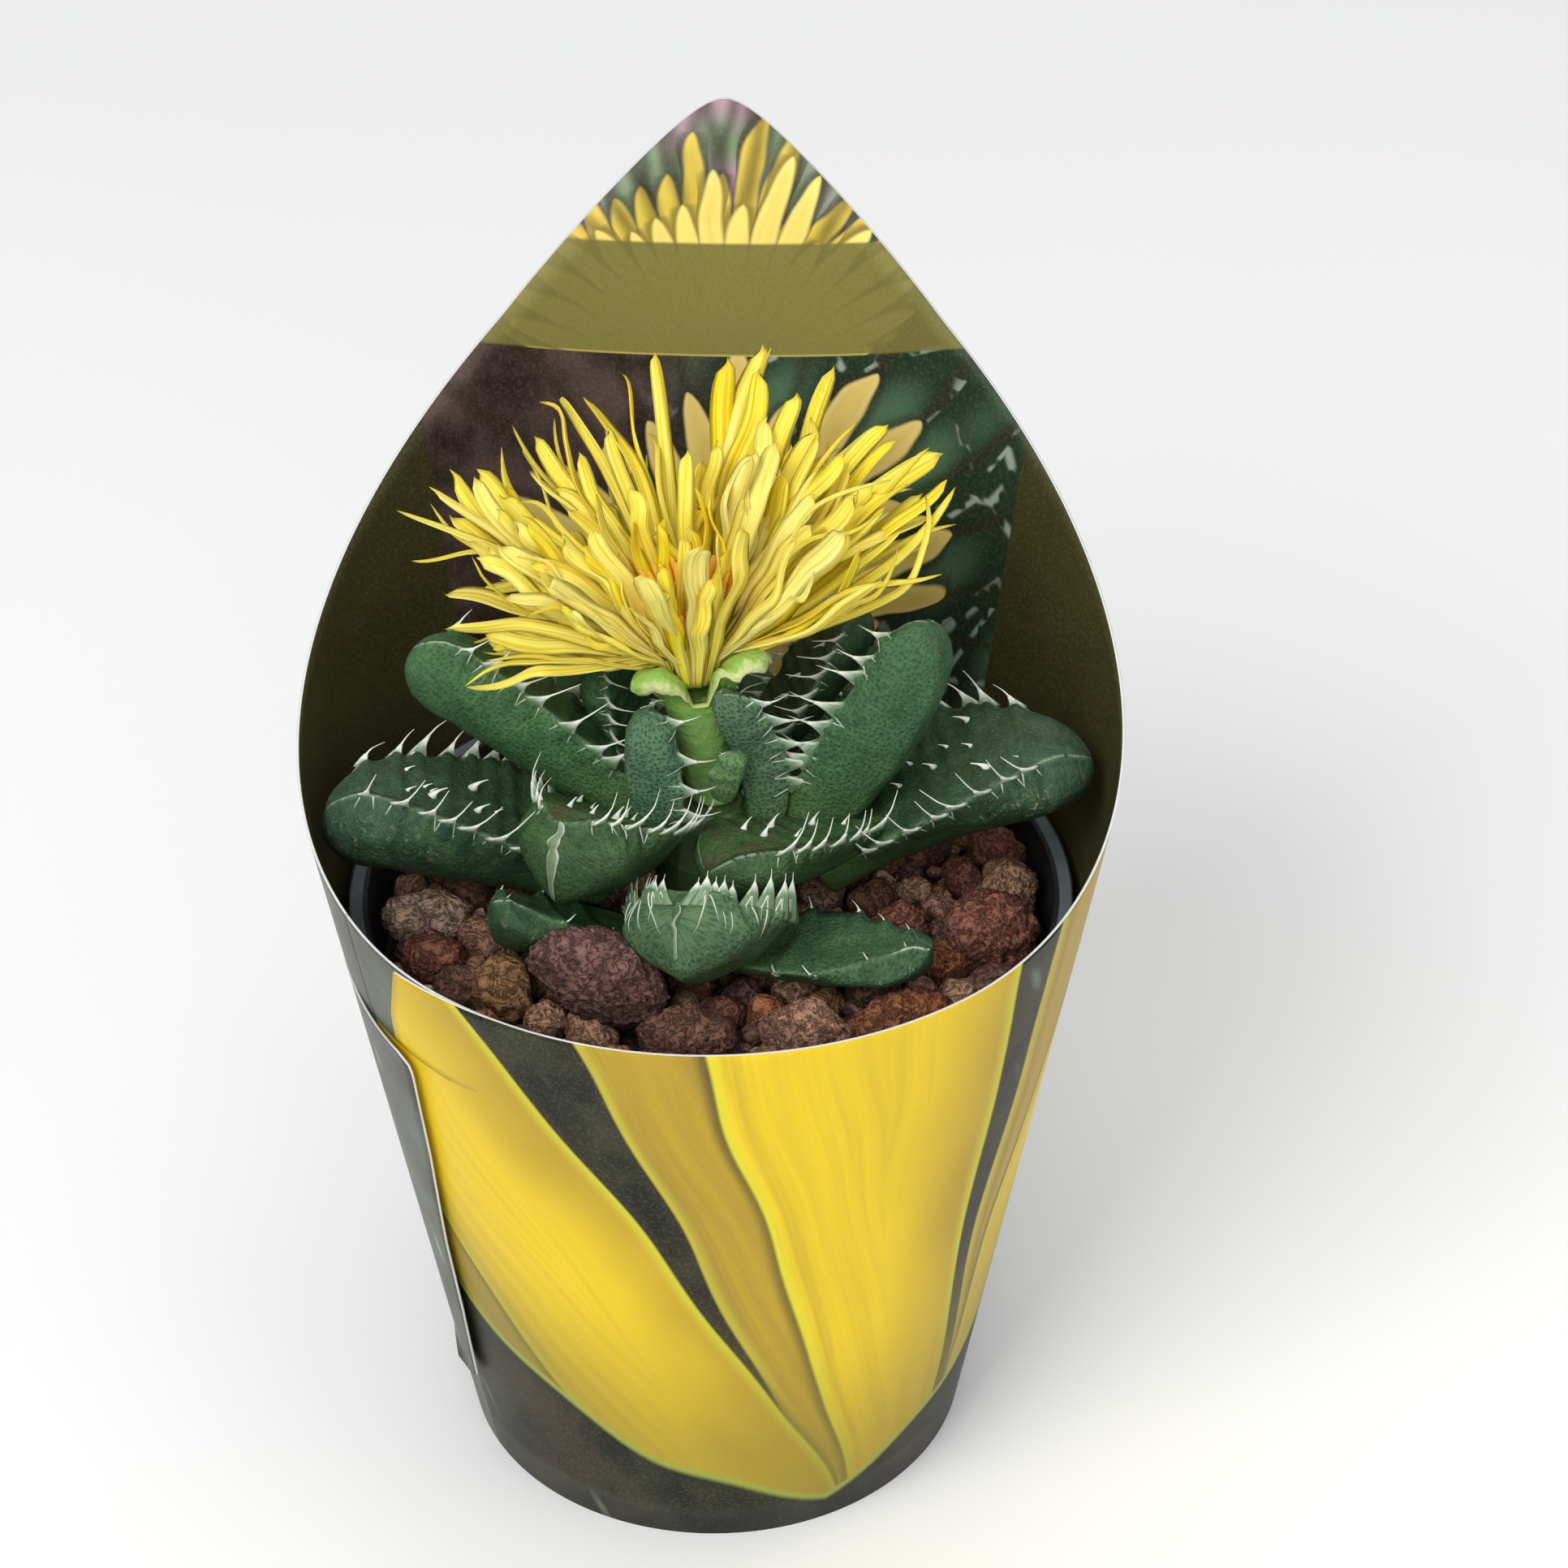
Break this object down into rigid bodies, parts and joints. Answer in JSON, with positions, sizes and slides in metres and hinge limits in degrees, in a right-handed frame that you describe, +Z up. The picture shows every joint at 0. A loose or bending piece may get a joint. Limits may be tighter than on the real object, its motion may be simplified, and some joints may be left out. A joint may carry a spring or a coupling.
{
  "type": "potted faucaria tuberculosa in a card sleeve",
  "caption": "Small toothed succulent in yellow bloom, growing in volcanic gravel in a round pot that stands in a conical card sleeve with a tall pointed back.",
  "frame": {"origin": "on the floor under the middle of the pot", "axes": "+Z up along the pot's axis, +Y towards the sleeve's tall back, +X to the right seen from the low front lip"},
  "size_m": [0.062, 0.067, 0.097],
  "materials": {
    "printed_card": "glossy printed card with white cut edges",
    "pot_plastic": "thin moulded black plastic with a worn grey rim",
    "potting_soil": "damp peaty soil, rough and matte",
    "volcanic_gravel": "porous matte lava pebbles, red-brown, tan and maroon",
    "stem_skin": "fleshy green stem",
    "leaf_skin": "thick satin skin, blue-green to olive, with white edges, dots and tubercles",
    "calyx_skin": "fleshy bright green with pale edges",
    "petal_skin": "soft bright yellow petals with a slight sheen",
    "stamen_pollen": "powdery orange-yellow"
  },
  "bodies": {
    "root": {"sleeve": "printed_card", "pot": "pot_plastic", "soil": "potting_soil", "gravel": "volcanic_gravel", "stem": "stem_skin", "calyx": "calyx_skin", "petals": "petal_skin", "stamens": "stamen_pollen", "leaf_bud": "leaf_skin", "leaf_inner_left": "leaf_skin", "leaf_inner_right": "leaf_skin", "leaf_rising_left": "leaf_skin", "leaf_rising_right": "leaf_skin", "leaf_behind_left": "leaf_skin", "leaf_behind_right": "leaf_skin", "leaf_front_left": "leaf_skin", "leaf_front_right": "leaf_skin", "leaf_mouth": "leaf_skin", "leaf_left": "leaf_skin", "leaf_right": "leaf_skin", "leaf_back_left": "leaf_skin", "leaf_back_right": "leaf_skin", "leaf_back": "leaf_skin", "leaf_low_right": "leaf_skin", "leaf_low_left": "leaf_skin"}
  },
  "joints": []
}
